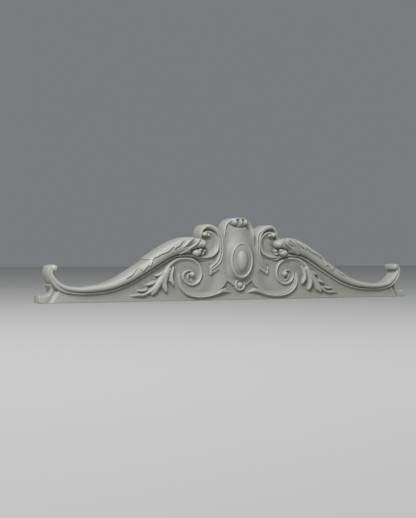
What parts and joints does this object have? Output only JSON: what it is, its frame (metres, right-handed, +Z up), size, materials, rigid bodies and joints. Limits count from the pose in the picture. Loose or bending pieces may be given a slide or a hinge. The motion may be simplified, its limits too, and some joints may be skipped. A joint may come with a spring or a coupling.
{
  "type": "scroll onlay",
  "caption": "Long low onlay for a wall or over-door: a scrolled, leafy cornice rises from curled ends to a central cartouche with an oval boss.",
  "frame": {"origin": "on the flat back, on the centre line, 104 mm above the straight lower edge", "axes": "+Z up as it hangs, the carved front faces -Y, the back lies in the plane Y = 0, +X runs along its length to the viewer's right"},
  "size_m": [1.091, 0.0625, 0.2099],
  "materials": {
    "cast_grey": "matt warm grey paint over a cast body, unpolished"
  },
  "bodies": {
    "root": {"scroll_onlay": "cast_grey"}
  },
  "joints": []
}
